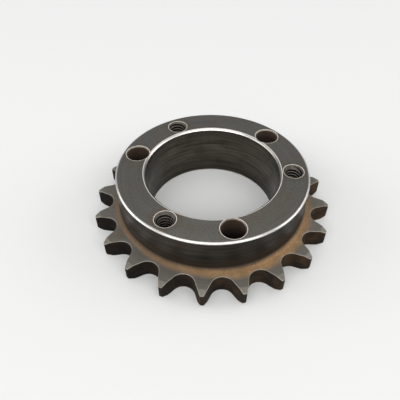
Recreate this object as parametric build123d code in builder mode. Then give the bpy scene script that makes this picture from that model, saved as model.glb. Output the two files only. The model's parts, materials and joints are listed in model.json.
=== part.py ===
from build123d import *
import os
from math import radians, sin, tan

# Chain sprocket with a hub on one side and a tapered bore for a split bushing.
# +Z runs along the bore towards the hub face, and Z 0 is the flat face on the tooth side.
# One clear screw hole lies on -Y. All sizes are in millimetres and angles in degrees.

# Roller chain of half inch pitch that the teeth are cut for
chain_pitch = 12.70
roller_diameter = 7.925
tooth_count = 20
tooth_turn = 0.8

# Tooth form, within the limits that the roller chain standard sets for 20 teeth
seating_allowance = 0.018
seating_angle = 123.0
flank_radius = 32.0

# Toothed rim, its tips measured from the pitch circle
rim_thickness = 7.21
tip_height = 2.66
tip_bevel_width = 1.95
tip_bevel_angle = 27.0
tooth_edge_break = 0.18

# Hub, with a ledge of plain rim between it and the tooth roots
overall_height = 20.64
hub_ledge = 2.442
hub_edge_break = 0.5
hub_fillet_radius = 1.6

# Screw holes: clear ones, and tapped ones given at the full diameter of their thread
screw_holes_of_each_kind = 3
clear_hole_diameter = 7.94
clear_hole_edge_break = 0.48
clear_hole_to_hub_rim = 1.585
tapped_hole_diameter = 6.35
tapped_hole_turn = 44.65
countersink_diameter = 7.5
countersink_angle = 82.0
edge_break_angle = 90.0

# Bore, whose taper is the loss of diameter for a unit of length
bore_to_clear_hole = 0.845
bore_taper = 0.0625
bore_edge_break = 0.65

# Circle through the roller centres, and the curve that holds a roller
pitch_radius = chain_pitch / 2 / sin(radians(180 / tooth_count))
seating_radius = 0.505 * roller_diameter + seating_allowance

# Radii of the blank and of the screw holes, from the teeth inwards
tip_radius = pitch_radius + tip_height
bevel_start_radius = tip_radius - tip_bevel_width
bevel_drop = tip_bevel_width * tan(radians(tip_bevel_angle))
root_radius = pitch_radius - seating_radius
hub_radius = root_radius - hub_ledge
clear_hole_radius = clear_hole_diameter / 2
bolt_circle_radius = hub_radius - clear_hole_to_hub_rim - clear_hole_radius
bore_radius = bolt_circle_radius - clear_hole_radius - bore_to_clear_hole
bore_radius_at_foot = bore_radius - bore_taper / 2 * overall_height
clear_hole_angle = -90
tapped_hole_angle = clear_hole_angle - tapped_hole_turn

# One tooth space, on the +X axis: the seating curve and a flank tangent to it, run out past the tips
with BuildSketch() as tooth_space:
    with BuildLine():
        seating = JernArc(
            start=(root_radius, 0), tangent=(0, 1), radius=seating_radius, arc_size=-seating_angle / 2
        )
        flank = JernArc(
            start=seating @ 1, tangent=seating % 1, radius=flank_radius, arc_size=seating_angle / 4
        )
        clear_of_tips = (flank @ 1).X + chain_pitch
        Polyline(flank @ 1, (clear_of_tips, (flank @ 1).Y), (clear_of_tips, 0))
        mirror(about=Plane.XZ)
    make_face()

with BuildPart() as chain_sprocket:
    # Turned blank: the tapered bore, both rim faces bevelled towards the tips, and the hub
    with BuildSketch(Plane.XZ) as blank:
        with BuildLine():
            Polyline(
                (bore_radius_at_foot, 0),
                (bevel_start_radius, 0),
                (tip_radius, bevel_drop),
                (tip_radius, rim_thickness - bevel_drop),
                (bevel_start_radius, rim_thickness),
                (hub_radius, rim_thickness),
                (hub_radius, overall_height),
                (bore_radius, overall_height),
                close=True,
            )
        make_face()
        bore_ends = blank.vertices().sort_by(Axis.X)[:2]
        hub_rim = blank.vertices().sort_by_distance((hub_radius, overall_height))[0]
        hub_foot = blank.vertices().sort_by_distance((hub_radius, rim_thickness))[0]
        chamfer(bore_ends, length=bore_edge_break)
        chamfer(hub_rim, length=hub_edge_break)
        fillet(hub_foot, radius=hub_fillet_radius)
    revolve(axis=Axis.Z)

    # Teeth, with the outline's edges broken on both faces
    with BuildSketch():
        with PolarLocations(0, tooth_count, start_angle=tooth_turn + 180 / tooth_count):
            add(tooth_space.sketch)
    extrude(amount=rim_thickness, mode=Mode.SUBTRACT)
    tooth_edges = chain_sprocket.edges(Select.LAST).filter_by(Axis.Z, reverse=True)
    chamfer(tooth_edges, length=tooth_edge_break)

    # Screw holes, cut from the hub face and then finished from the back, where angles run the other way
    for face, sense in ((Plane.XY.offset(overall_height), 1), (-Plane.XY, -1)):
        with Locations(face):
            with PolarLocations(bolt_circle_radius, screw_holes_of_each_kind, sense * clear_hole_angle):
                CounterSinkHole(
                    radius=clear_hole_radius,
                    counter_sink_radius=clear_hole_radius + clear_hole_edge_break,
                    counter_sink_angle=edge_break_angle,
                )
            with PolarLocations(bolt_circle_radius, screw_holes_of_each_kind, sense * tapped_hole_angle):
                CounterSinkHole(
                    radius=tapped_hole_diameter / 2,
                    counter_sink_radius=countersink_diameter / 2,
                    counter_sink_angle=countersink_angle,
                )

os.makedirs("parts", exist_ok=True)
chain_sprocket.part.label = "chain_sprocket"
export_step(chain_sprocket.part, "parts/chain_sprocket.step")
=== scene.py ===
"""Visual model of a roller chain sprocket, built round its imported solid.

Sizes are in millimetres and angles in degrees until a finished mesh is brought to metres. Z runs along
the bore, from the flat back face up to the hub face, and one clear screw hole lies on -Y.
"""

import json
import logging
from abc import ABC, abstractmethod
from collections.abc import Callable, Mapping
from dataclasses import dataclass
from enum import Enum
from functools import partial, reduce
from math import acos, atan2, cos, degrees, pi, radians, sin, tan

import bmesh
import bpy
from bmesh.types import BMEdge, BMesh, BMFace, BMVert
from mathutils import Color, Matrix, Vector


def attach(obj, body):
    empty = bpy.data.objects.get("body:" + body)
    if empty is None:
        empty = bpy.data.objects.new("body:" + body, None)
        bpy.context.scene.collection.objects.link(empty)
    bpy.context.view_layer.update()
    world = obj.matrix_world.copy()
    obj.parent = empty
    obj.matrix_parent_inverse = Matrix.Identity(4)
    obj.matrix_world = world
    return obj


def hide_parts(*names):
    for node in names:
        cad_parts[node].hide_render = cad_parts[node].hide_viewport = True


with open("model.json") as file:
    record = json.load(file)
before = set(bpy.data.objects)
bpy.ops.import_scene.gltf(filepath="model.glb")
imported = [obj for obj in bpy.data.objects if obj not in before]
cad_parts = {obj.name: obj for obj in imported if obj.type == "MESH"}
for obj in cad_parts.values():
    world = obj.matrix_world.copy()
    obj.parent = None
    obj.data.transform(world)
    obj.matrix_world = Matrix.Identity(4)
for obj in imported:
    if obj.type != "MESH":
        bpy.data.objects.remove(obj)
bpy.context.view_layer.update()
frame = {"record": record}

LOG = logging.getLogger("sprocket")
NODE = "chain_sprocket"
BODY = "root"
METRES = 0.001
WELD = 0.0004
SLIVER = WELD / 4
NOISE_MIDDLE = 0.5
VECTORS = ("Point", "Round")
CLEAR_HOLE_TURN = -90.0
TAPPED_HOLE_TURN = CLEAR_HOLE_TURN - 44.65
Z_AXIS = Vector((0, 0, 1))
ORIGIN = Vector((0, 0, 0))

Station = Callable[[Vector, Vector], Vector]
Socket = bpy.types.NodeSocket
Sockets = dict[str, Socket]
Feed = Socket | float | tuple
Axis = tuple[float, float, float]
Tone = tuple[int, int, int]


class Region(Enum):
    """Surfaces of the sprocket that have a finish of their own."""

    HUB_FACE = "hub_face"
    HUB_SIDE = "hub_side"
    PLATE = "tooth_plate"
    TOOTH_WALL = "tooth_wall"
    TOOTH_EDGE = "tooth_edge"
    BORE = "bore_wall"
    BRIGHT_EDGE = "bright_edge"
    BORE_EDGE = "bore_edge"
    WORN_RIM = "worn_rim"
    CLEAR_HOLE = "clear_hole"
    CLEAR_HOLE_EDGE = "clear_hole_edge"
    COUNTERSINK = "countersink"
    THREAD_CREST = "thread_crest"
    THREAD_GROOVE = "thread_groove"
    BACK_FACE = "back_face"

    @property
    def slot(self) -> int:
        """Place of this finish among the mesh's material slots."""
        return list(Region).index(self)


class Side(Enum):
    """The two flat sides of the toothed rim."""

    BACK = "back"
    HUB = "hub"


def direction(angle: float) -> Vector:
    """Unit vector in the XY plane.

    Args:
        angle: Direction in radians, anticlockwise from +X.

    Returns:
        The unit vector.
    """
    return Vector((cos(angle), sin(angle), 0))


def crossing(centre: Vector, near_radius: float, far_radius: float) -> float:
    """Direction in which a circle meets a circle about the bore axis.

    Args:
        centre: Centre of the first circle.
        near_radius: Radius of the first circle.
        far_radius: Radius of the circle about the bore axis.

    Returns:
        The direction of the lower meeting point in radians, seen from the centre.
    """
    reach = centre.length
    swing = acos((far_radius**2 - reach**2 - near_radius**2) / (2 * reach * near_radius))
    return atan2(centre.y, centre.x) - swing


def verts_of(geometry: list) -> list[BMVert]:
    """The vertices in a list of mesh elements."""
    return [item for item in geometry if isinstance(item, BMVert)]


def content(mesh: BMesh) -> list:
    """Every vertex, edge and face of a mesh."""
    return mesh.verts[:] + mesh.edges[:] + mesh.faces[:]


def turn_all(mesh: BMesh, angle: float) -> None:
    """Turns what a mesh holds about the bore axis, by an angle in degrees."""
    bmesh.ops.rotate(mesh, verts=mesh.verts, cent=ORIGIN, matrix=Matrix.Rotation(radians(angle), 3, "Z"))


def repeat_round(mesh: BMesh, count: int) -> None:
    """Repeats what a mesh holds evenly round the bore axis.

    Args:
        mesh: Mesh whose whole content is repeated.
        count: Number of places, the first one among them.
    """
    sweep = 2 * pi * (count - 1) / count
    bmesh.ops.spin(
        mesh, geom=content(mesh), cent=ORIGIN, axis=Z_AXIS, angle=sweep, steps=count - 1, use_duplicate=True
    )


class OutlinePen:
    """Draws a chain of arcs in the XY plane."""

    def __init__(self, mesh: BMesh, start: Vector) -> None:
        """Sets the pen down.

        Args:
            mesh: Mesh that receives the line.
            start: Where the line starts.
        """
        self.mesh = mesh
        self.point = mesh.verts.new(start)

    @property
    def place(self) -> Vector:
        """Where the pen stands."""
        return self.point.co.copy()

    def arc(self, centre: Vector, turn: float, steps: int) -> None:
        """Draws an arc.

        Args:
            centre: Centre of the arc.
            turn: Angle swept in radians, anticlockwise.
            steps: Number of straight pieces.
        """
        swept = bmesh.ops.spin(
            self.mesh, geom=[self.point], cent=centre, axis=Z_AXIS, angle=turn, steps=steps
        )
        self.point = verts_of(swept["geom_last"])[0]


@dataclass(frozen=True)
class ToothForm:
    """Teeth for roller chain of half inch pitch; each space is a roller's seat between two flanks."""

    chain_pitch: float = 12.70
    roller_diameter: float = 7.925
    count: int = 20
    turn: float = 0.8
    seating_share: float = 0.505
    seating_allowance: float = 0.018
    seating_angle: float = 123.0
    flank_radius: float = 32.0
    tip_height: float = 2.66
    tip_bevel_width: float = 1.95
    tip_bevel_angle: float = 27.0
    tip_corner: float = 0.2
    edge_break: float = 0.18
    seating_steps: int = 12
    inner_flank_steps: int = 3
    outer_flank_steps: int = 2
    corner_steps: int = 3

    @property
    def pitch_radius(self) -> float:
        """Radius on which the roller centres lie."""
        return self.chain_pitch / 2 / sin(pi / self.count)

    @property
    def seating_radius(self) -> float:
        """Radius of the curve that holds a roller."""
        return self.seating_share * self.roller_diameter + self.seating_allowance

    @property
    def root_radius(self) -> float:
        """Radius at the bottom of the tooth spaces."""
        return self.pitch_radius - self.seating_radius

    @property
    def tip_radius(self) -> float:
        """Radius at the tooth tips."""
        return self.pitch_radius + self.tip_height

    @property
    def bevel_radius(self) -> float:
        """Radius at which the bevel towards the tips starts."""
        return self.tip_radius - self.tip_bevel_width

    def face_drop(self, radius: float) -> float:
        """How far the bevel lies below the flat of the rim.

        Args:
            radius: Distance from the bore axis.

        Returns:
            The drop, 0 inside the bevel.
        """
        return max(0.0, radius - self.bevel_radius) * tan(radians(self.tip_bevel_angle))

    def draw_half_space(self, mesh: BMesh) -> None:
        """Draws half a tooth space, from its bottom on +X to the middle of the next tooth.

        Args:
            mesh: Mesh that receives the line.
        """
        roller = Vector((self.pitch_radius, 0, 0))
        pen = OutlinePen(mesh, Vector((self.root_radius, 0, 0)))
        pen.arc(roller, -radians(self.seating_angle / 2), self.seating_steps)

        # A point of the flank lies where the inside of its broken edge meets the start of the bevel
        hill = pen.place + (pen.place - roller).normalized() * self.flank_radius
        bevel_at = crossing(hill, self.flank_radius - self.edge_break, self.bevel_radius)
        corner_at = crossing(hill, self.flank_radius - self.tip_corner, self.tip_radius - self.tip_corner)
        from_hill = pen.place - hill
        pen.arc(hill, bevel_at - atan2(from_hill.y, from_hill.x), self.inner_flank_steps)
        pen.arc(hill, corner_at - bevel_at, self.outer_flank_steps)
        corner = hill + direction(corner_at) * (self.flank_radius - self.tip_corner)
        pen.arc(corner, atan2(corner.y, corner.x) - corner_at, self.corner_steps)
        pen.arc(ORIGIN, pi / self.count - atan2(pen.place.y, pen.place.x), 1)

    def draw(self, mesh: BMesh) -> None:
        """Draws the closed outline of all the teeth.

        Args:
            mesh: Empty mesh that receives the outline.
        """
        self.draw_half_space(mesh)
        other_half = bmesh.ops.duplicate(mesh, geom=content(mesh))["geom"]
        bmesh.ops.scale(mesh, vec=(1, -1, 1), verts=verts_of(other_half))
        repeat_round(mesh, self.count)
        bmesh.ops.remove_doubles(mesh, verts=mesh.verts, dist=WELD)
        turn_all(mesh, self.turn + 180 / self.count)


class RingStack:
    """Raises a wall from a closed loop of edges, one ring at a time."""

    def __init__(self, mesh: BMesh) -> None:
        """Takes every edge of the mesh as the first ring, and notes where it runs and faces.

        Args:
            mesh: Mesh that holds one closed loop of edges about the bore axis.
        """
        self.mesh = mesh
        self.foot = mesh.verts.layers.float_vector.new("foot")
        self.out = mesh.verts.layers.float_vector.new("out")
        self.loop = mesh.edges[:]
        for vert in mesh.verts:
            along = Vector((0, 0, 0))
            for edge in vert.link_edges:
                step = (edge.other_vert(vert).co - vert.co).normalized()
                along += step if vert.co.cross(step).z > 0 else -step
            vert[self.foot] = vert.co
            vert[self.out] = along.normalized().cross(Z_AXIS)

    def place(self, station: Station) -> None:
        """Moves the ring that was raised last.

        Args:
            station: Gives a vertex its place from its point on the outline and the way that one faces.
        """
        for vert in {vert for edge in self.loop for vert in edge.verts}:
            vert.co = station(Vector(vert[self.foot]), Vector(vert[self.out]))

    def raise_to(self, station: Station, region: Region) -> None:
        """Adds a ring and the faces below it.

        Args:
            station: Gives the new ring's places.
            region: Finish of the new faces.
        """
        grown = bmesh.ops.extrude_edge_only(self.mesh, edges=self.loop)["geom"]
        new_verts = set(verts_of(grown))
        for face in (item for item in grown if isinstance(item, BMFace)):
            face.material_index = region.slot
        edges = [item for item in grown if isinstance(item, BMEdge)]
        self.loop = [edge for edge in edges if new_verts.issuperset(edge.verts)]
        self.place(station)

    def close(self) -> None:
        """Welds the last ring to the first one and drops the notes."""
        bmesh.ops.remove_doubles(self.mesh, verts=self.mesh.verts, dist=WELD)
        notes = self.mesh.verts.layers.float_vector
        for name in ("out", "foot"):
            notes.remove(notes[name])


def on_circle(radius: float, height: float, foot: Vector, _out: Vector) -> Vector:
    """Place of a vertex on a circle about the bore axis."""
    return foot.normalized() * radius + Z_AXIS * height


@dataclass(frozen=True)
class Lathe:
    """Turned sizes of the blank: rim, hub and tapered bore."""

    teeth: ToothForm
    rim_thickness: float = 7.21
    overall_height: float = 20.64
    hub_ledge: float = 2.442
    hub_edge_break: float = 0.5
    hub_fillet: float = 1.6
    bore_diameter: float = 47.52
    bore_taper: float = 0.0625
    bore_edge_break: float = 0.65
    outer_arris: float = 0.18
    bore_arris: float = 0.2
    inner_arris: float = 0.07
    break_steps: int = 4
    fillet_steps: int = 8

    @property
    def hub_radius(self) -> float:
        """Radius of the hub."""
        return self.teeth.root_radius - self.hub_ledge

    def bore_radius(self, height: float) -> float:
        """Radius of the tapered bore at a height."""
        return self.bore_diameter / 2 - self.bore_taper / 2 * (self.overall_height - height)

    def on_edge(self, side: Side, turn: float, foot: Vector, out: Vector) -> Vector:
        """Place of a vertex on the broken edge of the teeth.

        Args:
            side: Which face of the rim the edge belongs to.
            turn: Angle round the edge in radians, 0 on the wall and a quarter turn on the face.
            foot: The vertex's point on the outline.
            out: The way that the outline faces there.

        Returns:
            The place.
        """
        inset = self.teeth.edge_break * (1 - cos(turn))
        sink = self.teeth.edge_break * (1 - sin(turn))
        spot = foot - out * inset
        drop = self.teeth.face_drop(spot.length) + sink
        spot.z = drop if side is Side.BACK else self.rim_thickness - drop
        return spot

    def on_crease(self, height: float, foot: Vector, out: Vector) -> Vector:
        """Place of a vertex on the inside of the broken edges or, across the tips, the start of the bevel.

        Args:
            height: Height of the rim's flat face.
            foot: The vertex's point on the outline.
            out: The way that the outline faces there.

        Returns:
            The place.
        """
        spot = foot - out * self.teeth.edge_break
        spot *= min(1.0, self.teeth.bevel_radius / spot.length)
        spot.z = height
        return spot

    def build(self, mesh: BMesh) -> None:
        """Builds the toothed blank as a closed skin, without its screw holes.

        Args:
            mesh: Mesh that holds the outline of the teeth.
        """
        rim, top, hub = self.rim_thickness, self.overall_height, self.hub_radius
        bore_break = self.bore_edge_break
        quarter = [pi / 2 * step / self.break_steps for step in range(self.break_steps + 1)]
        stack = RingStack(mesh)

        stack.place(partial(self.on_edge, Side.BACK, 0))
        stack.raise_to(partial(self.on_edge, Side.HUB, 0), Region.TOOTH_WALL)
        for turn in quarter[1:]:
            stack.raise_to(partial(self.on_edge, Side.HUB, turn), Region.TOOTH_EDGE)
        stack.raise_to(partial(self.on_crease, rim), Region.PLATE)
        stack.raise_to(partial(on_circle, hub + self.hub_fillet, rim), Region.PLATE)
        for step in range(1, self.fillet_steps + 1):
            turn = pi / 2 * step / self.fillet_steps
            radius = hub + self.hub_fillet * (1 - sin(turn))
            height = rim + self.hub_fillet * (1 - cos(turn))
            stack.raise_to(partial(on_circle, radius, height), Region.PLATE)

        bore_top, bore_foot = self.bore_radius(top), self.bore_radius(0)
        bright, worn_highlight = Region.BRIGHT_EDGE, Region.WORN_RIM
        turned = (
            (Vector((hub, top - self.hub_edge_break)), Region.HUB_SIDE, bright, self.inner_arris),
            (Vector((hub - self.hub_edge_break, top)), bright, bright, self.outer_arris),
            (Vector((bore_top + bore_break, top)), Region.HUB_FACE, worn_highlight, self.bore_arris),
            (Vector((bore_top, top - bore_break)), Region.BORE_EDGE, bright, self.inner_arris),
            (Vector((bore_foot, bore_break)), Region.BORE, bright, self.inner_arris),
            (Vector((bore_foot + bore_break, 0)), bright, bright, self.inner_arris),
        )
        before = Vector((hub, rim + self.hub_fillet))
        followers = [corner for corner, *_ in turned[1:]] + [Vector((hub, 0))]
        for (corner, region, arris_region, arris), after in zip(turned, followers):
            # Two short faces round each corner off
            near = corner + (before - corner).normalized() * arris
            far = corner + (after - corner).normalized() * arris
            crown = (near + far) / 4 + corner / 2
            for point, finish in ((near, region), (crown, arris_region), (far, bright)):
                stack.raise_to(partial(on_circle, *point), finish)
            before = corner

        stack.raise_to(partial(self.on_crease, 0), Region.BACK_FACE)
        stack.raise_to(partial(self.on_edge, Side.BACK, pi / 2), Region.BACK_FACE)
        for turn in reversed(quarter[:-1]):
            stack.raise_to(partial(self.on_edge, Side.BACK, turn), Region.TOOTH_EDGE)
        stack.close()
        bmesh.ops.recalc_face_normals(mesh, faces=mesh.faces)


@dataclass(frozen=True)
class ScrewHole:
    """A through hole with a cone and a worn rim with a painted highlight at each end, repeated round the
    bolt circle.
    """

    radius: float
    edge_radius: float
    cone_angle: float
    start_angle: float
    wall: Region
    cone: Region
    rim_width: float = 0.16
    rim_depth: float = 0.04
    count: int = 3
    overshoot: float = 0.1
    steps: int = 72

    def cut_form(self, mesh: BMesh, height: float, bolt_circle_radius: float) -> None:
        """Builds the solids that are cut away.

        Args:
            mesh: Empty mesh that receives them.
            height: Distance between the two faces that the hole runs through.
            bolt_circle_radius: Radius on which the holes lie.
        """
        spread = tan(radians(self.cone_angle / 2))
        rim_foot = self.edge_radius - self.rim_width
        depth = self.rim_depth + (rim_foot - self.radius) / spread
        outer = self.edge_radius + self.overshoot * self.rim_width / self.rim_depth
        profile = (
            (0.0, -self.overshoot, Region.WORN_RIM),
            (outer, -self.overshoot, Region.WORN_RIM),
            (rim_foot, self.rim_depth, Region.WORN_RIM),
            (self.radius, depth, self.cone),
            (self.radius, height - depth, self.wall),
            (rim_foot, height - self.rim_depth, self.cone),
            (outer, height + self.overshoot, Region.WORN_RIM),
            (0.0, height + self.overshoot, Region.WORN_RIM),
        )
        for (radius, low, _), (next_radius, high, region) in zip(profile, profile[1:]):
            ends = [mesh.verts.new((radius, 0, low)), mesh.verts.new((next_radius, 0, high))]
            line = [*ends, mesh.edges.new(ends)]
            before = set(mesh.faces)
            bmesh.ops.spin(
                mesh, geom=line, cent=ORIGIN, axis=Z_AXIS, angle=2 * pi, steps=self.steps, use_merge=True
            )
            for face in mesh.faces:
                if face not in before:
                    face.material_index = region.slot
        bmesh.ops.remove_doubles(mesh, verts=mesh.verts, dist=WELD)
        place_round(mesh, bolt_circle_radius, self.start_angle, self.count)


def place_round(mesh: BMesh, radius: float, start_angle: float, count: int) -> None:
    """Moves what a mesh holds out to a circle and repeats it round the bore.

    Args:
        mesh: Mesh whose whole content is placed.
        radius: Radius of the circle.
        start_angle: Where the first copy lies, in degrees.
        count: Number of copies.
    """
    bmesh.ops.translate(mesh, vec=(radius, 0, 0), verts=mesh.verts)
    turn_all(mesh, start_angle)
    repeat_round(mesh, count)
    bmesh.ops.recalc_face_normals(mesh, faces=mesh.faces)


@dataclass(frozen=True)
class ScrewThread:
    """Quarter inch thread of 20 turns to the inch, cut into the wall of a drilled hole."""

    major_radius: float = 3.175
    drill_radius: float = 2.56
    inside: float = 0.06
    pitch: float = 1.27
    flank_angle: float = 30.0
    root_flat_share: float = 0.125
    spare_turns: int = 2
    steps: int = 36
    overshoot: float = 0.4

    def cut_form(self, mesh: BMesh, height: float) -> None:
        """Builds one threaded rod that is cut away, standing on the origin.

        Args:
            mesh: Empty mesh that receives it.
            height: Distance between the two faces that the hole runs through.
        """
        root_flat = self.pitch * self.root_flat_share
        inner = self.drill_radius - self.inside
        run = (self.major_radius - inner) * tan(radians(self.flank_angle))
        crest_flat = self.pitch - root_flat - 2 * run
        turns = int(height / self.pitch) + 2 * self.spare_turns
        point = mesh.verts.new((inner, 0, -self.spare_turns * self.pitch))
        for step in (
            Vector((0, 0, crest_flat)),
            Vector((self.major_radius - inner, 0, run)),
            Vector((0, 0, root_flat)),
            Vector((inner - self.major_radius, 0, run)),
        ):
            point = bmesh.ops.extrude_vert_indiv(mesh, verts=[point])["verts"][0]
            bmesh.ops.translate(mesh, vec=step, verts=[point])
        bmesh.ops.spin(
            mesh,
            geom=content(mesh),
            cent=ORIGIN,
            axis=Z_AXIS,
            dvec=(0, 0, self.pitch / self.steps),
            angle=2 * pi * turns,
            steps=self.steps * turns,
        )
        bmesh.ops.remove_doubles(mesh, verts=mesh.verts, dist=WELD)
        for level, normal in ((-self.overshoot, -Z_AXIS), (height + self.overshoot, Z_AXIS)):
            plane = Z_AXIS * level
            cut = bmesh.ops.bisect_plane(
                mesh, geom=content(mesh), plane_co=plane, plane_no=normal, clear_outer=True
            )
            rim = [item for item in cut["geom_cut"] if isinstance(item, BMEdge)]
            bmesh.ops.edgeloop_fill(mesh, edges=rim)
        for face in mesh.faces:
            face.material_index = Region.THREAD_GROOVE.slot


def link_new(name: str, data: bpy.types.ID) -> bpy.types.Object:
    """Makes an object of a mesh, a lamp or a camera, and links it to the scene.

    Args:
        name: Name of the object.
        data: What the object holds.

    Returns:
        The object.
    """
    made = bpy.data.objects.new(name, data)
    bpy.context.scene.collection.objects.link(made)
    return made


def mesh_object(
    name: str, fill: Callable[[BMesh], object], finishes: list[bpy.types.Material]
) -> bpy.types.Object:
    """Makes a mesh object.

    Args:
        name: Name of the object and its mesh.
        fill: Fills the empty mesh.
        finishes: Materials, in the order in which its faces number them.

    Returns:
        The object, linked to the scene.
    """
    mesh = bmesh.new()
    fill(mesh)
    data = bpy.data.meshes.new(name)
    mesh.to_mesh(data)
    mesh.free()
    for finish in finishes:
        data.materials.append(finish)
    return link_new(name, data)


def carve(target: bpy.types.Object, cutter: bpy.types.Object) -> None:
    """Cuts one object out of another and removes the cutter.

    Args:
        target: Object that is cut.
        cutter: Object that is taken away from it.
    """
    cut = target.modifiers.new("carve", "BOOLEAN")
    cut.operation = "DIFFERENCE"
    cut.solver = "MANIFOLD"
    cut.object = cutter
    bpy.context.view_layer.update()
    depsgraph = bpy.context.evaluated_depsgraph_get()
    carved = bpy.data.meshes.new_from_object(target.evaluated_get(depsgraph))
    target.modifiers.clear()
    before, target.data = target.data, carved
    carved.name = target.name
    bpy.data.meshes.remove(before)
    bpy.data.meshes.remove(cutter.data)


@dataclass(frozen=True)
class SprocketBody:
    """The whole sprocket, one solid piece of steel."""

    bolt_circle_radius: float
    lathe: Lathe = Lathe(ToothForm())
    clear_holes: ScrewHole = ScrewHole(
        radius=3.97,
        edge_radius=4.45,
        cone_angle=90.0,
        start_angle=CLEAR_HOLE_TURN,
        wall=Region.CLEAR_HOLE,
        cone=Region.CLEAR_HOLE_EDGE,
    )
    tapped_holes: ScrewHole = ScrewHole(
        radius=ScrewThread.drill_radius,
        edge_radius=3.75,
        cone_angle=82.0,
        start_angle=TAPPED_HOLE_TURN,
        wall=Region.THREAD_CREST,
        cone=Region.COUNTERSINK,
    )
    thread: ScrewThread = ScrewThread()
    crease_angle: float = 24.0

    def fill_blank(self, mesh: BMesh) -> None:
        """Fills a mesh with the toothed blank."""
        self.lathe.teeth.draw(mesh)
        self.lathe.build(mesh)

    def fill_threads(self, mesh: BMesh) -> None:
        """Fills a mesh with the threaded rods."""
        self.thread.cut_form(mesh, self.lathe.overall_height)
        place_round(mesh, self.bolt_circle_radius, self.tapped_holes.start_angle, self.tapped_holes.count)

    def build(self, finishes: list[bpy.types.Material]) -> bpy.types.Object:
        """Builds the sprocket and brings it to metres.

        Args:
            finishes: Materials in the order of the regions.

        Returns:
            The finished object.
        """
        body = mesh_object("sprocket_body", self.fill_blank, finishes)
        where = {"height": self.lathe.overall_height, "bolt_circle_radius": self.bolt_circle_radius}
        drills = [partial(holes.cut_form, **where) for holes in (self.clear_holes, self.tapped_holes)]
        for fill in (*drills, self.fill_threads):
            carve(body, mesh_object("cutter", fill, finishes))

        mesh = bmesh.new()
        mesh.from_mesh(body.data)
        bmesh.ops.dissolve_degenerate(mesh, dist=SLIVER, edges=mesh.edges)
        bmesh.ops.scale(mesh, vec=(METRES,) * 3, verts=mesh.verts)
        for face in mesh.faces:
            face.smooth = True
        for edge in mesh.edges:
            edge.smooth = edge.is_manifold and degrees(edge.calc_face_angle()) < self.crease_angle
        open_edges = sum(not edge.is_manifold for edge in mesh.edges)
        mesh.to_mesh(body.data)
        mesh.free()
        LOG.info("%s: %d faces, %d open edges", body.name, len(body.data.polygons), open_edges)
        shading = body.modifiers.new("flat faces stay flat", "WEIGHTED_NORMAL")
        shading.mode = "FACE_AREA"
        shading.keep_sharp = True
        return body


class NodeSheet:
    """Adds nodes to one shader tree and joins them up."""

    def __init__(self, tree: bpy.types.NodeTree) -> None:
        """Starts on an empty tree.

        Args:
            tree: Tree of a material, a world or a node group.
        """
        self.tree = tree
        tree.nodes.clear()

    def add(self, kind: str, feeds: Mapping[str | int, Feed], **settings: object) -> bpy.types.Node:
        """Adds a node.

        Args:
            kind: Type of the node, without the word ShaderNode.
            feeds: A value or another node's output for each input that is set.
            settings: Properties of the node.

        Returns:
            The node.
        """
        node = self.tree.nodes.new("ShaderNode" + kind)
        for name, value in settings.items():
            setattr(node, name, value)
        for key, feed in feeds.items():
            socket = node.inputs[key]
            if isinstance(feed, Socket):
                self.tree.links.new(feed, socket)
            else:
                socket.default_value = feed
        return node

    def math(self, operation: str, *terms: Feed) -> Socket:
        """Result of a sum on numbers."""
        return self.add("Math", dict(enumerate(terms)), operation=operation).outputs[0]

    def times(self, *factors: Feed) -> Socket:
        """Product of two or more numbers."""
        return reduce(partial(self.math, "MULTIPLY"), factors)

    def plus(self, *terms: Feed) -> Socket:
        """Sum of two or more numbers."""
        return reduce(partial(self.math, "ADD"), terms)

    def less(self, value: Feed, taken: Feed) -> Socket:
        """A number with another taken from it."""
        return self.math("SUBTRACT", value, taken)

    # A Mix node keeps a pair of inputs for each kind of value: 2 and 3 for numbers, 6 and 7 for colours

    def blend(self, share: Feed, low: Feed, high: Feed) -> Socket:
        """Colour between two colours."""
        return self.add("Mix", {0: share, 6: low, 7: high}, data_type="RGBA").outputs[2]

    def between(self, share: Feed, low: Feed, high: Feed) -> Socket:
        """Number between two numbers."""
        return self.add("Mix", {0: share, 2: low, 3: high}, data_type="FLOAT").outputs[0]

    def rise(self, value: Feed, start: Feed, end: Feed) -> Socket:
        """Smooth step from 0 to 1 as a number goes from start to end."""
        ramp = self.add("MapRange", {0: value, 1: start, 2: end}, interpolation_type="SMOOTHSTEP")
        return ramp.outputs[0]

    def vector(self, operation: str, *terms: Feed) -> Socket:
        """Vector that a sum on vectors gives."""
        return self.add("VectorMath", dict(enumerate(terms)), operation=operation).outputs[0]

    def dot(self, arrow: Feed, axis: Axis) -> Socket:
        """How far an arrow reaches along an axis."""
        return self.add("VectorMath", {0: arrow, 1: axis}, operation="DOT_PRODUCT").outputs["Value"]

    def noise(self, place: Feed, scale: Feed, detail: float, rough: float = 0.5) -> Socket:
        """Soft noise about NOISE_MIDDLE over a place in millimetres."""
        feeds = {"Vector": place, "Scale": scale, "Detail": detail, "Roughness": rough}
        return self.add("TexNoise", feeds).outputs[0]

    def swing(self, place: Feed, scale: Feed, detail: float, rough: float = 0.5) -> Socket:
        """The same noise, brought to swing about 0."""
        return self.less(self.noise(place, scale, detail, rough), NOISE_MIDDLE)


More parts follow.
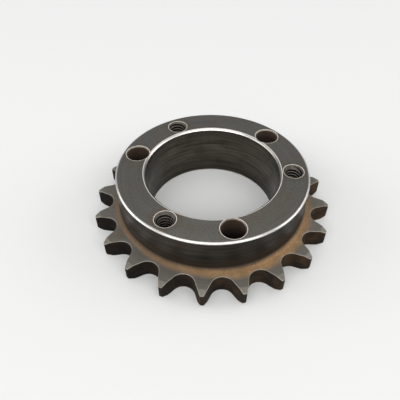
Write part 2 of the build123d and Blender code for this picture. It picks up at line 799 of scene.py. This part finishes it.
class Effect(ABC):
    """A surface effect that several finishes share, kept as one shader node group.

    Its inputs and outputs go by name, and those named in VECTORS are vectors. A field whose name ends
    in noise holds a noise's scale, its detail and, where it isn't the usual half, its roughness.
    """

    name: str
    takes: tuple[str, ...] = ()
    gives: tuple[str, ...] = ()

    @abstractmethod
    def wire(self, sheet: NodeSheet, taken: Sockets) -> Sockets:
        """Makes the effect.

        Args:
            sheet: The group's sheet.
            taken: The group's inputs.

        Returns:
            What feeds each of its outputs.
        """

    def tree(self) -> bpy.types.NodeTree:
        """The group's tree, built when it is first asked for.

        Returns:
            The tree.
        """
        built = bpy.data.node_groups.get(self.name)
        if built:
            return built
        tree = bpy.data.node_groups.new(self.name, "ShaderNodeTree")
        for in_out, names in (("INPUT", self.takes), ("OUTPUT", self.gives)):
            for name in names:
                kind = "NodeSocketVector" if name in VECTORS else "NodeSocketFloat"
                tree.interface.new_socket(name=name, in_out=in_out, socket_type=kind)
        sheet = NodeSheet(tree)
        taken = tree.nodes.new("NodeGroupInput")
        given = tree.nodes.new("NodeGroupOutput")
        for name, socket in self.wire(sheet, dict(taken.outputs.items())).items():
            tree.links.new(socket, given.inputs[name])
        return tree

    def place(self, sheet: NodeSheet, here: Sockets, own: Mapping[str, Feed]) -> Sockets:
        """Puts the effect into a material.

        Args:
            sheet: Sheet of the material.
            here: The material's bore place, whose outputs feed the inputs that bear their names.
            own: What each other input gets.

        Returns:
            The outputs of the placed group.
        """
        feeds = {name: here[name] for name in self.takes if name in here}
        return dict(sheet.add("Group", {**feeds, **own}, node_tree=self.tree()).outputs.items())


class BorePlace(Effect):
    """Where a point lies about the bore axis, in millimetres."""

    name = "bore_place"
    gives = ("Point", "Radius", "Height", "Round")

    def wire(self, sheet: NodeSheet, taken: Sockets) -> Sockets:
        """Splits the object coordinates into radius, height and direction.

        Args:
            sheet: The group's sheet.
            taken: The group's inputs, none here.

        Returns:
            What feeds each of its outputs.
        """
        object_place = sheet.add("TexCoord", {}).outputs["Object"]
        point = sheet.vector("MULTIPLY", object_place, (1 / METRES,) * 3)
        across = sheet.vector("MULTIPLY", point, (1, 1, 0))
        height = sheet.add("SeparateXYZ", {0: point}).outputs["Z"]
        radius = sheet.add("VectorMath", {0: across}, operation="LENGTH").outputs["Value"]
        return {
            "Point": point,
            "Radius": radius,
            "Height": height,
            "Round": sheet.vector("NORMALIZE", across),
        }


class ToolMarks(Effect):
    """Fine grooves that a turning tool leaves, which run round the bore."""

    name = "tool_marks"
    takes = ("Across", "Round", "Spacing", "Waver")
    gives = ("Groove", "Band")
    groove_noise = (1.0, 2.0)
    band_noise = (1.0, 3.0)
    band_stretch = (0, 0, 0.17)

    def wire(self, sheet: NodeSheet, taken: Sockets) -> Sockets:
        """Makes noise that is fine across the grooves and long round the bore.

        Args:
            sheet: The group's sheet.
            taken: The group's inputs.

        Returns:
            What feeds each of its outputs.
        """
        feeds = {0: taken["Round"], "Scale": taken["Waver"]}
        waver = sheet.add("VectorMath", feeds, operation="SCALE").outputs[0]
        feed = sheet.math("DIVIDE", taken["Across"], taken["Spacing"])
        along = sheet.add("CombineXYZ", {2: feed}).outputs[0]
        fine = sheet.vector("ADD", waver, along)
        broad = sheet.vector("ADD", waver, sheet.vector("MULTIPLY", along, self.band_stretch))
        return {
            "Groove": sheet.noise(fine, *self.groove_noise),
            "Band": sheet.noise(broad, *self.band_noise),
        }


class Blotches(Effect):
    """Irregular patches, such as oil stain or thin rust."""

    name = "blotches"
    takes = ("Point", "Size", "Cover", "Softness")
    gives = ("Mask",)
    detail = 5.0
    rough = 0.6
    bare_level = 0.72
    full_cover_drop = 0.44

    def wire(self, sheet: NodeSheet, taken: Sockets) -> Sockets:
        """Cuts noise off at the level that leaves the wanted cover.

        Args:
            sheet: The group's sheet.
            taken: The group's inputs.

        Returns:
            What feeds each of its outputs.
        """
        scale = sheet.math("DIVIDE", 1.0, taken["Size"])
        cloud = sheet.noise(taken["Point"], scale, self.detail, self.rough)
        level = sheet.less(self.bare_level, sheet.times(taken["Cover"], self.full_cover_drop))
        low = sheet.less(level, taken["Softness"])
        high = sheet.plus(level, taken["Softness"])
        return {"Mask": sheet.rise(cloud, low, high)}


class Scratches(Effect):
    """Fine straight scratches in two directions, broken off here and there."""

    name = "scratches"
    takes = ("Point", "Size")
    gives = ("Mask",)
    directions = (0.5, 1.9)
    stretch = (0.09, 1.6, 1.0)
    line_detail = 1.0
    line_width = 0.012
    gap_scale = 0.6
    gap_detail = 2.0
    gap_levels = (0.5, 0.62)

    def wire(self, sheet: NodeSheet, taken: Sockets) -> Sockets:
        """Draws level lines of stretched noise.

        Args:
            sheet: The group's sheet.
            taken: The group's inputs.

        Returns:
            What feeds each of its outputs.
        """
        shrink = sheet.math("DIVIDE", 1.0, taken["Size"])
        gap_scale = sheet.times(shrink, self.gap_scale)
        lines = []
        for turn in self.directions:
            feeds = {"Vector": taken["Point"], "Angle": turn}
            turned = sheet.add("VectorRotate", feeds, rotation_type="Z_AXIS").outputs[0]
            long = sheet.vector("MULTIPLY", turned, self.stretch)
            level = sheet.math("ABSOLUTE", sheet.swing(long, shrink, self.line_detail))
            gaps = sheet.rise(sheet.noise(turned, gap_scale, self.gap_detail), *self.gap_levels)
            lines.append(sheet.times(sheet.rise(level, self.line_width, 0.0), gaps))
        return {"Mask": sheet.math("MAXIMUM", *lines)}


class RustRing(Effect):
    """Rust on the rim along the foot of the hub, and the dark stain with painted shade that climbs the hub
    above it.
    """

    name = "rust_ring"
    takes = ("Point", "Round", "Radius", "Height", "Hub Radius", "Rim Height", "Reach Out", "Reach Up")
    gives = ("Rust", "Stain And Shade", "Speckle", "Grain")
    heavy_side = (0.4, -0.92, 0.0)
    uneven_reach = 1.1
    thinnest = 0.6
    darkest = 0.45
    ragged_noise = (0.9, 5.0, 0.65)
    ragged_width = 1.1
    ragged_climb = 0.5
    wander_noise = (0.09, 1.0)
    wander_width = 1.6
    solid_share = 0.4
    rust_top = 1.9
    solid_rust_top = -0.8
    solid_stain_shade_top = 1.2
    stain_shade_foot = -1.9
    solid_stain_shade_foot = -0.4
    mottle_noise = (0.3, 4.0, 0.6)
    mottle_levels = (0.3, 0.7)
    grain_noise = (3.0, 3.0, 0.7)
    grain_levels = (0.35, 0.6)
    grain_share = 0.55

    def wire(self, sheet: NodeSheet, taken: Sockets) -> Sockets:
        """Fades with the way along the surface, which counts from the corner: up the hub, down the rim.

        Args:
            sheet: The group's sheet.
            taken: The group's inputs.

        Returns:
            What feeds each of its outputs.
        """
        point = taken["Point"]
        up = sheet.less(taken["Height"], taken["Rim Height"])
        plain_way = sheet.less(up, sheet.less(taken["Radius"], taken["Hub Radius"]))
        ragged = sheet.times(sheet.swing(point, *self.ragged_noise), self.ragged_width)
        wander = sheet.times(sheet.swing(point, *self.wander_noise), self.wander_width)
        way = sheet.plus(ragged, wander, plain_way)
        facing = sheet.math("MAXIMUM", sheet.dot(taken["Round"], self.heavy_side), 0.0)
        heavy = sheet.times(facing, facing)

        reach = sheet.plus(1.0, sheet.times(heavy, self.uneven_reach))
        limit = sheet.times(taken["Reach Out"], -1.0, reach)
        outer = sheet.rise(way, limit, sheet.times(limit, self.solid_share))
        inner = sheet.rise(way, self.rust_top, self.solid_rust_top)
        climb = sheet.plus(plain_way, sheet.times(ragged, self.ragged_climb))
        above = sheet.rise(climb, taken["Reach Up"], self.solid_stain_shade_top)
        below = sheet.rise(way, self.stain_shade_foot, self.solid_stain_shade_foot)

        mottle = sheet.rise(sheet.noise(point, *self.mottle_noise), *self.mottle_levels)
        grain = sheet.noise(point, *self.grain_noise)
        speckle = sheet.between(self.grain_share, mottle, sheet.rise(grain, *self.grain_levels))
        return {
            "Rust": sheet.times(outer, inner, sheet.between(heavy, self.thinnest, 1.0)),
            "Stain And Shade": sheet.times(above, below),
            "Speckle": sheet.times(speckle, sheet.between(heavy, self.darkest, 1.0)),
            "Grain": grain,
        }


class ScrewHalo(Effect):
    """Brown stain round the screw holes, which lie on one circle in two sets of three."""

    name = "screw_halo"
    takes = ("Point", "Radius", "Bolt Circle Radius")
    gives = ("Mask",)
    turns = (CLEAR_HOLE_TURN, TAPPED_HOLE_TURN)
    set_count = 3
    ragged_noise = (0.3, 4.0)
    ragged_width = 2.0
    full_to = 4.2
    gone_at = 7.2

    def wire(self, sheet: NodeSheet, taken: Sockets) -> Sockets:
        """Fades with the distance from the nearest hole.

        Args:
            sheet: The group's sheet.
            taken: The group's inputs.

        Returns:
            What feeds each of its outputs.
        """
        parts = sheet.add("SeparateXYZ", {0: taken["Point"]}).outputs
        angle = sheet.math("ARCTAN2", parts["Y"], parts["X"])
        bolt_circle = taken["Bolt Circle Radius"]
        across = sheet.less(taken["Radius"], bolt_circle)
        reach = pi / self.set_count
        near = []
        for turn in self.turns:
            away = sheet.math("WRAP", sheet.less(angle, radians(turn)), reach, -reach)
            along = sheet.times(away, bolt_circle)
            square = sheet.plus(sheet.times(along, along), sheet.times(across, across))
            near.append(sheet.math("SQRT", square))
        ragged = sheet.times(sheet.noise(taken["Point"], *self.ragged_noise), self.ragged_width)
        distance = sheet.plus(sheet.math("MINIMUM", *near), ragged)
        return {"Mask": sheet.rise(distance, self.gone_at, self.full_to)}


def tone(colour: Tone) -> tuple[float, float, float, float]:
    """Colour of a shader socket.

    Args:
        colour: Red, green and blue as a screen shows them, 0 to 255.

    Returns:
        The same colour in linear light, opaque.
    """
    linear = Color([level / 255 for level in colour]).from_srgb_to_scene_linear()
    return (*linear, 1.0)


class Lay(Enum):
    """Which way the tool moved along while the steel turned."""

    FACED = "Radius"
    TURNED = "Height"


@dataclass(frozen=True)
class Places:
    """Where the parts of the sprocket lie that some finishes depend on."""

    hub_radius: float
    rim_height: float
    bolt_circle_radius: float


@dataclass
class Coat:
    """One material while its layers are laid on."""

    sheet: NodeSheet
    here: Sockets
    streak: Feed
    colour: Feed
    roughness: Feed
    metal: Feed
    relief: Feed

    def tint(self, mask: Feed, colour: Tone) -> None:
        """Lays a colour over what is there, as far as a mask lets it."""
        self.colour = self.sheet.blend(mask, self.colour, tone(colour))


@dataclass(frozen=True)
class SteelFinish:
    """Machined steel with tool marks and stain, and with scratches, halos, painted shade or rust in places.
    """

    region: Region
    light: Tone
    dark: Tone
    stain: Tone
    lay: Lay = Lay.FACED
    groove_spacing: float = 0.16
    groove_waver: float = 1.5
    groove_depth: float = 0.006
    band_share: float = 0.5
    mottle_share: float = 0.0
    mottle_noise: tuple[float, float, float] = (1.6, 4.0, 0.7)
    streak_softness: float = 0.35
    stain_size: float = 9.0
    stain_cover: float = 0.35
    stain_softness: float = 0.12
    stain_strength: float = 0.5
    metal: float = 1.0
    roughness: float = 0.38
    streak_dulls: float = 0.06
    ridge_polish: float = 0.04
    stain_dulls: float = 0.14
    specular: float = 0.5
    scratch: Tone = (176, 172, 166)
    scratch_strength: float = 0.0
    scratch_size: float = 2.2
    halo: Tone = (108, 88, 66)
    halo_strength: float = 0.0
    # Painted shade: the colour darkens downwards and towards one side
    painted_shade: Tone = (40, 37, 32)
    painted_shade_strength: float = 0.0
    painted_shade_from: float = 13.0
    painted_shade_full: float = 0.0
    painted_shade_on_ridges: float = 0.7
    shaded_side: Axis = (0.0, -1.0, 0.0)
    shaded_side_from: float = -0.3
    shaded_side_full: float = 0.9
    shaded_side_strength: float = 0.0
    rust_light: Tone = (158, 124, 84)
    rust_dark: Tone = (110, 84, 54)
    rust_strength: float = 0.0
    rust_reach: float = 2.4
    rust_roughness: float = 0.85
    rust_relief: float = 0.02
    # Brown stain with painted shade in the corner at the hub's foot
    foot_stain_shade: Tone = (38, 28, 17)
    foot_stain_shade_strength: float = 0.0
    foot_stain_shade_top: float = 7.0

    def bare_steel(self, sheet: NodeSheet) -> Coat:
        """Starts a material with the streaks of its tool marks and its stain.

        Args:
            sheet: Sheet of the material.

        Returns:
            The coat that the other layers go on.
        """
        here = BorePlace().place(sheet, {}, {})
        cut = {"Across": here[self.lay.value], "Spacing": self.groove_spacing, "Waver": self.groove_waver}
        marks = ToolMarks().place(sheet, here, cut)
        patches = {"Size": self.stain_size, "Cover": self.stain_cover, "Softness": self.stain_softness}
        stained = sheet.times(Blotches().place(sheet, here, patches)["Mask"], self.stain_strength)

        streak = sheet.between(self.band_share, marks["Groove"], marks["Band"])
        if self.mottle_share:
            mottle = sheet.noise(here["Point"], *self.mottle_noise)
            streak = sheet.between(self.mottle_share, streak, mottle)
        softness = self.streak_softness
        streak = sheet.rise(streak, NOISE_MIDDLE - softness, NOISE_MIDDLE + softness)
        dull, polished = self.roughness + self.streak_dulls, self.roughness - self.ridge_polish
        roughness = sheet.between(streak, dull, polished)
        coat = Coat(
            sheet,
            here,
            streak,
            colour=sheet.blend(streak, tone(self.dark), tone(self.light)),
            roughness=sheet.between(stained, roughness, self.roughness + self.stain_dulls),
            metal=self.metal,
            relief=sheet.times(marks["Groove"], self.groove_depth),
        )
        coat.tint(stained, self.stain)
        return coat

    def add_halo(self, coat: Coat, places: Places) -> None:
        """Lays the brown stain round the screw holes.

        Args:
            coat: Coat that it goes on.
            places: Where the screw holes lie.
        """
        circle = {"Bolt Circle Radius": places.bolt_circle_radius}
        mask = ScrewHalo().place(coat.sheet, coat.here, circle)["Mask"]
        coat.tint(coat.sheet.times(mask, self.halo_strength), self.halo)

    def add_scratches(self, coat: Coat) -> None:
        """Lays the light scratches."""
        lines = Scratches().place(coat.sheet, coat.here, {"Size": self.scratch_size})["Mask"]
        coat.tint(coat.sheet.times(lines, self.scratch_strength), self.scratch)

    def add_painted_shade(self, coat: Coat) -> None:
        """Lays painted shade, which darkens downwards and towards one side.

        Args:
            coat: Coat that it goes on.
        """
        sheet = coat.sheet
        low = sheet.rise(coat.here["Height"], self.painted_shade_from, self.painted_shade_full)
        facing = sheet.dot(coat.here["Round"], self.shaded_side)
        towards = sheet.rise(facing, self.shaded_side_from, self.shaded_side_full)
        aside = sheet.times(towards, self.shaded_side_strength)
        painted_shade = sheet.math("MAXIMUM", sheet.times(low, self.painted_shade_strength), aside)
        coat.tint(sheet.times(painted_shade, sheet.between(coat.streak, 1.0, self.painted_shade_on_ridges)), self.painted_shade)

    def add_rust(self, coat: Coat, places: Places) -> None:
        """Lays the rust, and the dark stain with painted shade at the foot of the hub, which cover the
        metal.

        Args:
            coat: Coat that they go on.
            places: Where hub and rim lie.
        """
        sheet = coat.sheet
        ring = {
            "Hub Radius": places.hub_radius,
            "Rim Height": places.rim_height,
            "Reach Out": self.rust_reach,
            "Reach Up": self.foot_stain_shade_top,
        }
        rust = RustRing().place(sheet, coat.here, ring)
        foot = sheet.times(rust["Stain And Shade"], self.foot_stain_shade_strength)
        rusted = sheet.times(rust["Rust"], self.rust_strength)
        rust_colour = sheet.blend(rust["Speckle"], tone(self.rust_dark), tone(self.rust_light))
        coat.tint(foot, self.foot_stain_shade)
        coat.colour = sheet.blend(rusted, coat.colour, rust_colour)
        covered = sheet.math("MAXIMUM", foot, rusted)
        coat.roughness = sheet.between(covered, coat.roughness, self.rust_roughness)
        coat.metal = sheet.times(sheet.less(1.0, covered), coat.metal)
        coat.relief = sheet.plus(coat.relief, sheet.times(rust["Grain"], rusted, self.rust_relief))

    def shade(self, coat: Coat) -> None:
        """Ends the material in its shader.

        Args:
            coat: The finished coat.
        """
        sheet = coat.sheet
        height = sheet.times(coat.relief, METRES)
        bump = sheet.add("Bump", {"Height": height, "Strength": 1.0, "Distance": 1.0})
        feeds = {
            "Base Color": coat.colour,
            "Roughness": coat.roughness,
            "Metallic": coat.metal,
            "Specular IOR Level": self.specular,
            "Normal": bump.outputs[0],
        }
        shader = sheet.add("BsdfPrincipled", feeds)
        sheet.add("OutputMaterial", {"Surface": shader.outputs[0]})

    def dress(self, places: Places) -> bpy.types.Material:
        """Builds the material.

        Args:
            places: Where hub, rim and screw holes lie.

        Returns:
            The material.
        """
        material = bpy.data.materials.new(self.region.value)
        material.use_nodes = True
        coat = self.bare_steel(NodeSheet(material.node_tree))
        if self.halo_strength:
            self.add_halo(coat, places)
        if self.scratch_strength:
            self.add_scratches(coat)
        if self.painted_shade_strength or self.shaded_side_strength:
            self.add_painted_shade(coat)
        if self.rust_strength or self.foot_stain_shade_strength:
            self.add_rust(coat, places)
        self.shade(coat)
        return material


FINISHES = (
    SteelFinish(
        Region.HUB_FACE,
        light=(134, 131, 125), dark=(101, 98, 92), stain=(112, 102, 88),
        groove_depth=0.03, mottle_share=0.55, streak_softness=0.22,
        stain_size=11.0,
        roughness=0.3,
        scratch_strength=0.12, halo_strength=0.4,
    ),
    SteelFinish(
        Region.HUB_SIDE,
        light=(64, 56, 47), dark=(33, 28, 23), stain=(62, 48, 35),
        lay=Lay.TURNED, groove_spacing=0.45, streak_softness=0.12,
        stain_size=14.0, stain_strength=0.2,
        metal=0.55, specular=0.25,
        # Painted shade: darker towards +X and -Y
        painted_shade=(19, 15, 11),
        shaded_side=(0.6, -0.8, 0.0), shaded_side_strength=0.9,
        # Brown stain with painted shade at the hub's foot
        foot_stain_shade_strength=0.9,
    ),
    SteelFinish(
        Region.PLATE,
        light=(118, 114, 107), dark=(94, 90, 83), stain=(98, 85, 68),
        groove_depth=0.02, mottle_share=0.4,
        metal=0.5, roughness=0.42,
        # Brown stain with painted shade in the fillet corner at the hub's foot
        rust_strength=1.0, foot_stain_shade_strength=0.9,
    ),
    SteelFinish(
        Region.TOOTH_WALL,
        light=(40, 33, 26), dark=(20, 17, 14), stain=(86, 64, 44),
        lay=Lay.TURNED, groove_spacing=0.5,
        stain_size=5.0, stain_cover=0.42, stain_softness=0.2, stain_strength=0.6,
        metal=0.1, roughness=0.65, specular=0.1,
        # Painted shade: darker towards the back face and towards -X
        painted_shade=(9, 8, 7), painted_shade_strength=0.25, painted_shade_from=5.0,
        shaded_side=(-1.0, 0.05, 0.0), shaded_side_strength=0.9,
    ),
    SteelFinish(
        Region.TOOTH_EDGE,
        light=(158, 152, 142), dark=(128, 122, 112), stain=(112, 96, 78),
        stain_size=4.0,
        metal=0.5, roughness=0.45,
    ),
    SteelFinish(
        Region.BORE,
        light=(108, 103, 94), dark=(60, 56, 50), stain=(54, 50, 44),
        lay=Lay.TURNED, groove_spacing=0.14, streak_softness=0.22,
        stain_size=7.0, stain_strength=0.35,
        roughness=0.36,
        # Painted shade: darker towards the foot of the bore and towards -X
        painted_shade_strength=0.75,
        shaded_side=(-0.98, -0.2, 0.0), shaded_side_from=0.3, shaded_side_strength=0.7,
    ),
    SteelFinish(
        Region.BRIGHT_EDGE,
        light=(210, 208, 204), dark=(188, 185, 180), stain=(150, 142, 130),
        stain_strength=0.2,
        roughness=0.3,
    ),
    SteelFinish(
        Region.BORE_EDGE,
        light=(228, 226, 222), dark=(206, 203, 198), stain=(150, 142, 130),
        stain_strength=0.2,
        roughness=0.3,
        # The chamfer shines only round the back: towards the front painted shade, a duller grey, lies over
        # it
        painted_shade=(138, 134, 127),
        shaded_side_from=-0.75, shaded_side_full=-0.25, shaded_side_strength=1.0,
    ),
    SteelFinish(
        Region.WORN_RIM,
        # Near-white, mostly diffuse rims: wear with a painted highlight, bright from any side
        light=(244, 239, 230), dark=(216, 210, 200), stain=(200, 192, 180),
        stain_size=2.0, stain_strength=0.4,
        metal=0.2, roughness=0.4,
    ),
    SteelFinish(
        Region.CLEAR_HOLE,
        light=(84, 69, 59), dark=(58, 47, 41), stain=(58, 40, 31),
        lay=Lay.TURNED, groove_spacing=0.3,
        stain_size=3.0,
        metal=0.1, roughness=0.6, specular=0.2,
        # Painted shade: the hole wall darkens with depth
        painted_shade=(31, 23, 19), painted_shade_strength=0.85, painted_shade_from=20.0, painted_shade_full=12.5,
    ),
    SteelFinish(
        Region.CLEAR_HOLE_EDGE,
        light=(122, 115, 105), dark=(96, 89, 80), stain=(104, 88, 72),
        stain_size=2.0,
        metal=0.7, roughness=0.42, specular=0.3,
    ),
    SteelFinish(
        Region.COUNTERSINK,
        light=(92, 87, 80), dark=(64, 59, 53), stain=(78, 67, 56),
        stain_size=3.0,
        metal=0.6, roughness=0.45, specular=0.3,
    ),
    SteelFinish(
        Region.THREAD_CREST,
        # Painted highlight: crests much lighter than the steel round them, with painted shade deeper in the
        # hole
        light=(176, 170, 162), dark=(148, 142, 134), stain=(120, 104, 88),
        lay=Lay.TURNED,
        metal=0.3, roughness=0.4,
        painted_shade=(56, 52, 48), painted_shade_strength=0.7, painted_shade_from=19.0, painted_shade_full=12.5,
    ),
    SteelFinish(
        Region.THREAD_GROOVE,
        # Painted shade: the grooves are near-black
        light=(22, 19, 17), dark=(12, 10, 9), stain=(24, 16, 12),
        lay=Lay.TURNED,
        metal=0.0, roughness=0.8, specular=0.1,
    ),
    SteelFinish(
        Region.BACK_FACE,
        light=(118, 114, 107), dark=(94, 90, 84), stain=(92, 78, 62),
        metal=0.6, roughness=0.45,
        scratch_strength=0.1,
    ),
)


@dataclass(frozen=True)
class Lamp:
    """A soft lamp that faces the sprocket, placed in metres as the camera sees the scene."""

    name: str
    azimuth: float
    elevation: float
    distance: float
    width: float
    height: float
    radiance: float

    def build(self, camera_turn: float) -> None:
        """Hangs the lamp.

        Args:
            camera_turn: Angle in degrees about Z by which the camera stands off the part's -Y.
        """
        azimuth, elevation = radians(self.azimuth + camera_turn), radians(self.elevation)
        away = Vector((sin(azimuth) * cos(elevation), -cos(azimuth) * cos(elevation), sin(elevation)))
        data = bpy.data.lights.new(self.name, "AREA")
        data.shape = "RECTANGLE"
        data.size = self.width
        data.size_y = self.height
        data.energy = self.radiance * pi * self.width * self.height
        lamp = link_new(self.name, data)
        lamp.location = away * self.distance
        lamp.rotation_euler = away.to_track_quat("Z", "Y").to_euler()


@dataclass(frozen=True)
class Studio:
    """Pale floor, soft lamps and the camera at the photograph's viewing angle.

    The camera's place and target are in millimetres, the floor and the lamps in metres.
    """

    camera_place: Axis = (-4.39, -116.46, 121.61)
    camera_target: Axis = (-4.39, 5.06, 0.0)
    camera_turn: float = -12.07
    focal_length: float = 39.14
    near_clip: float = 0.01
    floor_radius: float = 0.9
    floor_segments: int = 128
    floor_colour: Tone = (222, 222, 220)
    floor_roughness: float = 0.95
    sky_colour: Tone = (236, 238, 240)
    sky_strength: float = 0.55
    # Name, azimuth, elevation, distance, width, height and radiance of each lamp
    lamps: tuple[Lamp, ...] = (
        Lamp("lamp_front", 0.0, 50.0, 2.2, 3.8, 1.04, 3.2),
        Lamp("lamp_left", -93.0, 22.0, 2.4, 2.0, 1.2, 2.6),
        Lamp("lamp_right", 96.0, 25.0, 2.4, 2.0, 1.2, 2.2),
        Lamp("lamp_above", 180.0, 80.0, 1.8, 1.4, 1.4, 0.8),
    )

    def make_camera(self) -> None:
        """Sets up the camera."""
        turn = Matrix.Rotation(radians(self.camera_turn), 3, "Z")
        place = turn @ Vector(self.camera_place) * METRES
        target = turn @ Vector(self.camera_target) * METRES
        data = bpy.data.cameras.new("camera")
        data.lens = self.focal_length
        data.clip_start = self.near_clip
        camera = link_new("camera", data)
        camera.location = place
        camera.rotation_euler = (target - place).to_track_quat("-Z", "Y").to_euler()
        bpy.context.scene.camera = camera

    def make_floor(self) -> None:
        """Lays the plain round floor."""
        material = bpy.data.materials.new("floor")
        material.use_nodes = True
        sheet = NodeSheet(material.node_tree)
        paint = {"Base Color": tone(self.floor_colour), "Roughness": self.floor_roughness}
        shader = sheet.add("BsdfPrincipled", paint)
        sheet.add("OutputMaterial", {"Surface": shader.outputs[0]})
        fill = partial(
            bmesh.ops.create_circle, cap_ends=True, segments=self.floor_segments, radius=self.floor_radius
        )
        floor = mesh_object("floor", fill, [material])

    def make_sky(self) -> None:
        """Makes the even light from all round."""
        world = bpy.data.worlds.new("studio")
        world.use_nodes = True
        sheet = NodeSheet(world.node_tree)
        sky = sheet.add("Background", {"Color": tone(self.sky_colour), "Strength": self.sky_strength})
        sheet.add("OutputWorld", {"Surface": sky.outputs[0]})
        bpy.context.scene.world = world

    def build(self) -> None:
        """Builds the camera, the floor and the light."""
        self.make_camera()
        self.make_floor()
        self.make_sky()
        for lamp in self.lamps:
            lamp.build(self.camera_turn)
        bpy.context.scene.view_settings.view_transform = "Standard"


def main() -> None:
    """Builds the sprocket and the studio round it."""
    logging.basicConfig(level=logging.INFO, format="%(name)s %(message)s")
    mounts = {mount["name"]: mount for mount in frame["record"]["mounts"]}
    body = SprocketBody(bolt_circle_radius=mounts["clear_holes"]["dims"]["pcd_mm"] / 2)
    places = Places(body.lathe.hub_radius, body.lathe.rim_thickness, body.bolt_circle_radius)
    by_region = {finish.region: finish for finish in FINISHES}
    sprocket = body.build([by_region[region].dress(places) for region in Region])
    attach(sprocket, BODY)
    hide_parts(NODE)
    Studio().build()


if __name__ == "__main__":
    main()
